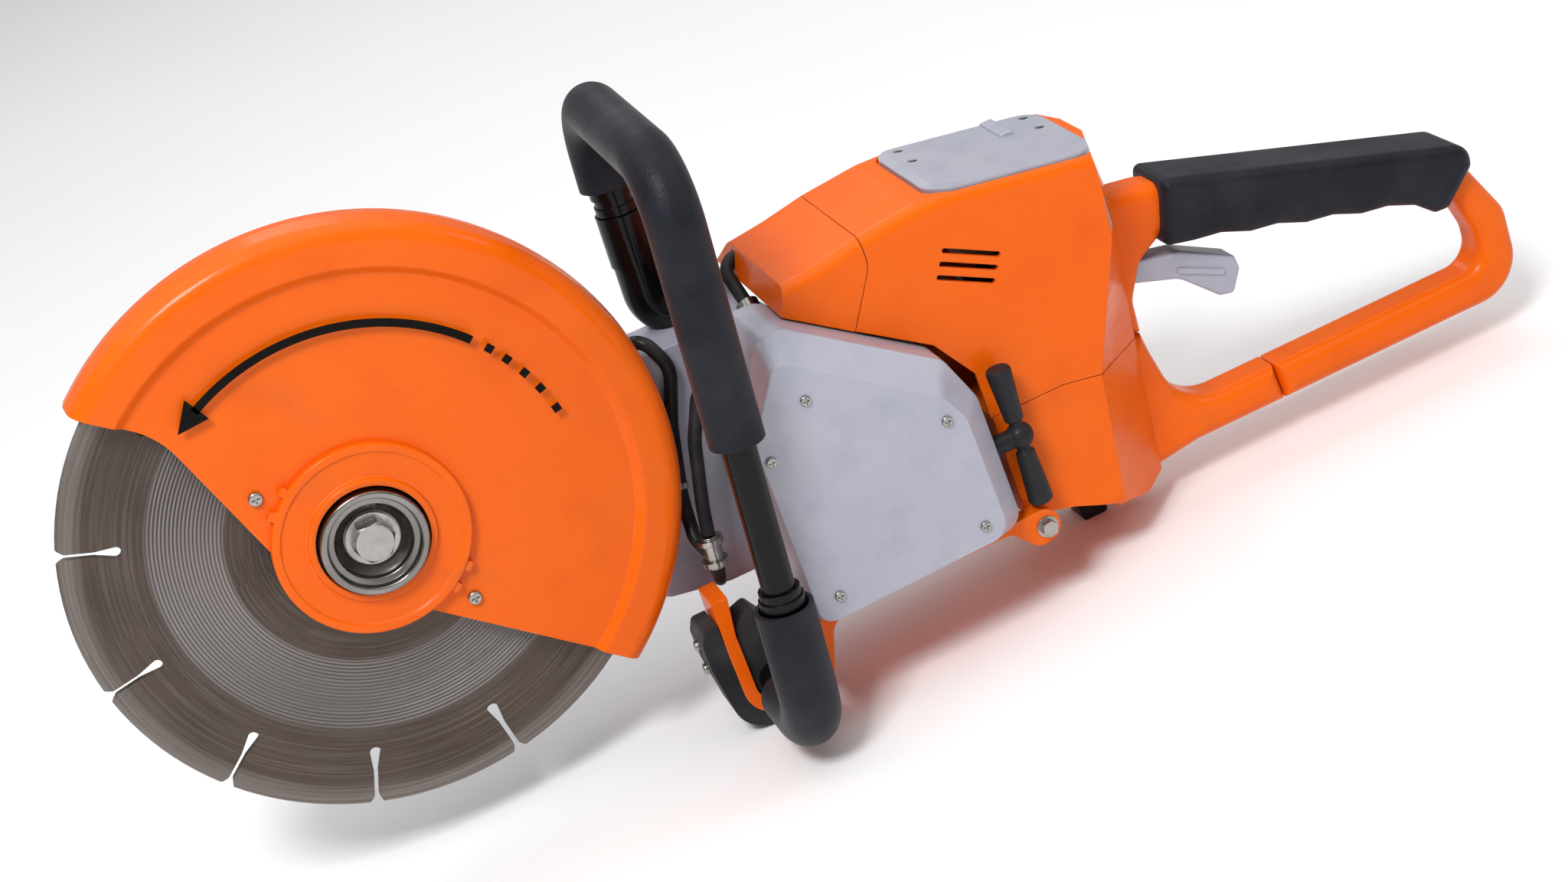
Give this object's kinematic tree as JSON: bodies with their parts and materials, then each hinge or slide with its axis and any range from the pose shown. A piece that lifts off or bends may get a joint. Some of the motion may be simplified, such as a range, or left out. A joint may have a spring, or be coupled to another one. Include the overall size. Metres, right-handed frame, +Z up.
{
  "type": "rescue saw",
  "caption": "Hand-held petrol cut-off saw: guarded cutting wheel on a belt arm, engine casing with pull starter, wrap-around front handle and looped rear handle with throttle.",
  "frame": {"origin": "bottom centre of the whole saw's box, on the ground under it", "axes": "+X towards the rear handle, +Y towards the operator's right, +Z up; the blade axis is along Y"},
  "size_m": [0.784, 0.2054, 0.345],
  "materials": {
    "orange_shell": "vivid orange moulded casing, fairly glossy",
    "orange_metal": "vivid orange enamel on metal",
    "grey_shell": "silver-grey moulded casing, satin",
    "grey_casting": "silver-grey paint on cast metal",
    "black_rubber": "moulded black rubber, matt with a fine texture",
    "grip_rubber": "soft blue-black grip rubber",
    "hose_rubber": "smooth black hose",
    "black_plastic": "black moulded plastic",
    "black_tube": "gloss black enamel on steel tube",
    "disc_steel": "dark brown-grey steel with fine turned rings",
    "turned_steel": "bright turned steel",
    "zinc_steel": "bright plated steel",
    "black_steel": "blackened screw steel",
    "cast_aluminium": "as-cast aluminium",
    "iron": "sintered iron and friction lining",
    "filter_pad": "pleated paper and fleece",
    "belt_rubber": "ribbed belt rubber",
    "rope_fibre": "braided cord",
    "grey_rubber_trigger": "grey moulded lever"
  },
  "bodies": {
    "machine": {"air_filter": "filter_pad", "arm_screws": "zinc_steel", "ball_bearings": "turned_steel", "base_skid": "orange_metal", "belt_arm": "grey_casting", "belt_cover": "grey_casting", "carburettor": "cast_aluminium", "cover_screws": "black_steel", "crankcase": "cast_aluminium", "cylinder": "cast_aluminium", "drive_belt": "belt_rubber", "fan_housing": "grey_shell", "feed_hose": "hose_rubber", "filter_lid": "grey_shell", "foot_bracket": "orange_metal", "foot_pad": "black_rubber", "foot_screws": "zinc_steel", "front_shroud": "orange_shell", "guard_hoses": "hose_rubber", "handle_arm": "black_tube", "handle_boots": "black_rubber", "handle_tube": "black_tube", "hose_fittings": "zinc_steel", "intake_boot": "black_rubber", "lid_screws": "black_steel", "lower_sleeve": "grip_rubber", "lug_bolt": "zinc_steel", "muffler": "black_steel", "rear_foot": "black_rubber", "rear_grip": "grip_rubber", "rear_handle": "orange_shell", "rear_housing": "orange_shell", "recoil_spring": "turned_steel", "reel_post": "turned_steel", "rope_bush": "turned_steel", "spark_plug": "zinc_steel", "starter_cover": "grey_shell", "trigger_pin": "turned_steel", "tube_bush": "black_rubber", "upper_shroud": "orange_shell", "upper_sleeve": "grip_rubber"},
    "blade": {"cutting_disc": "disc_steel", "inner_flange": "turned_steel", "outer_flange": "turned_steel", "blade_bolt": "zinc_steel", "spindle": "turned_steel", "spindle_pulley": "cast_aluminium"},
    "clutch_output": {"clutch_drum": "iron"},
    "crank": {"crankshaft": "turned_steel", "flywheel_fan": "cast_aluminium", "clutch_shoes": "iron"},
    "guard": {"guard_near": "orange_metal", "guard_far": "orange_metal", "guard_hub_cap": "orange_metal", "guard_screws": "black_steel"},
    "starter_reel": {"starter_reel": "black_plastic"},
    "starter_pull": {"starter_grip": "black_plastic", "starter_rope": "rope_fibre"},
    "trigger": {"throttle_trigger": "grey_rubber_trigger"},
    "filler_cap": {"fuel_cap": "black_plastic"}
  },
  "joints": [
    {"name": "blade_spin", "type": "hinge", "parent": "machine", "child": "blade", "pos_m": [-0.242, 0.0113, 0.185], "axis": [0, 1, 0], "continuous": true},
    {"name": "clutch_drum_spin", "type": "hinge", "parent": "machine", "child": "clutch_output", "pos_m": [-0.002, 0.0493, 0.123], "axis": [0, 1, 0], "continuous": true},
    {"name": "crank_spin", "type": "hinge", "parent": "machine", "child": "crank", "pos_m": [-0.002, 0.0093, 0.123], "axis": [0, 1, 0], "continuous": true},
    {"name": "guard_turn", "type": "hinge", "parent": "machine", "child": "guard", "pos_m": [-0.242, 0.0113, 0.185], "axis": [0, 1, 0], "range_deg": [-40, 12]},
    {"name": "starter_pull_slide", "type": "slide", "parent": "machine", "child": "starter_pull", "axis": [1, 0, 0], "range_m": [0, 0.6], "stiffness_N_per_m": 8, "springref_m": -0.6, "deforming": ["starter_rope"]},
    {"name": "starter_reel_spin", "type": "hinge", "parent": "machine", "child": "starter_reel", "pos_m": [-0.002, -0.0427, 0.123], "axis": [0, 1, 0], "range_deg": [-1770, 5]},
    {"name": "throttle_squeeze", "type": "hinge", "parent": "machine", "child": "trigger", "pos_m": [0.164, 0.0263, 0.13], "axis": [0, -1, 0], "range_deg": [0, 10], "stiffness_Nm_per_rad": 1.2, "springref_deg": -14.32},
    {"name": "fuel_cap_turn", "type": "hinge", "parent": "machine", "child": "filler_cap", "pos_m": [0.11, 0.0943, 0.073], "axis": [0, 1, 0], "range_deg": [0, 120]}
  ],
  "couplings": [
    {"joint": "clutch_drum_spin", "follows": "blade_spin", "ratio": 1.6842},
    {"joint": "starter_reel_spin", "follows": "starter_pull_slide", "rad_per_m": -51.282}
  ]
}
